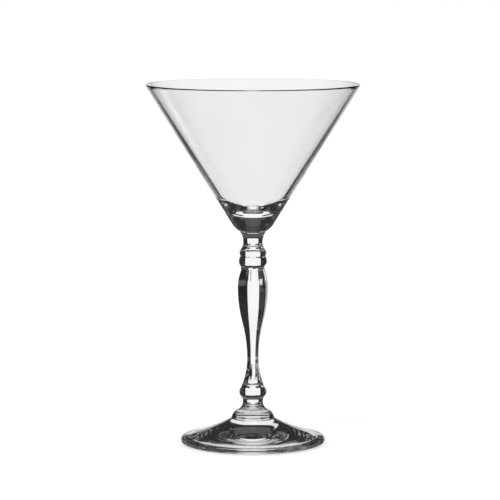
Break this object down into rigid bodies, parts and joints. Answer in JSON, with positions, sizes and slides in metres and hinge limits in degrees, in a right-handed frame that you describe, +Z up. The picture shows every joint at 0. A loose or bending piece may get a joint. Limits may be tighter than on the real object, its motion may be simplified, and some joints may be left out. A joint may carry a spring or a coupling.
{
  "type": "martini glass",
  "caption": "Stemmed cocktail glass: open conical bowl on a beaded, faceted baluster stem with a round domed foot, for serving a short drink without a hand warming it.",
  "frame": {"origin": "on the glass's axis, on the table plane under the foot", "axes": "+Z up along the axis of the bowl and stem, towards the rim; -Y faces the viewer"},
  "size_m": [0.103, 0.103, 0.174],
  "materials": {
    "blown_glass": "fire-polished clear, thin-walled",
    "pressed_glass": "fire-polished clear, solid, with soft pressed arrises",
    "foot_glass": "clear, faintly rippled from forming, bright resting ring"
  },
  "bodies": {
    "root": {"bowl": "blown_glass", "stem": "pressed_glass", "foot": "foot_glass"}
  },
  "joints": []
}
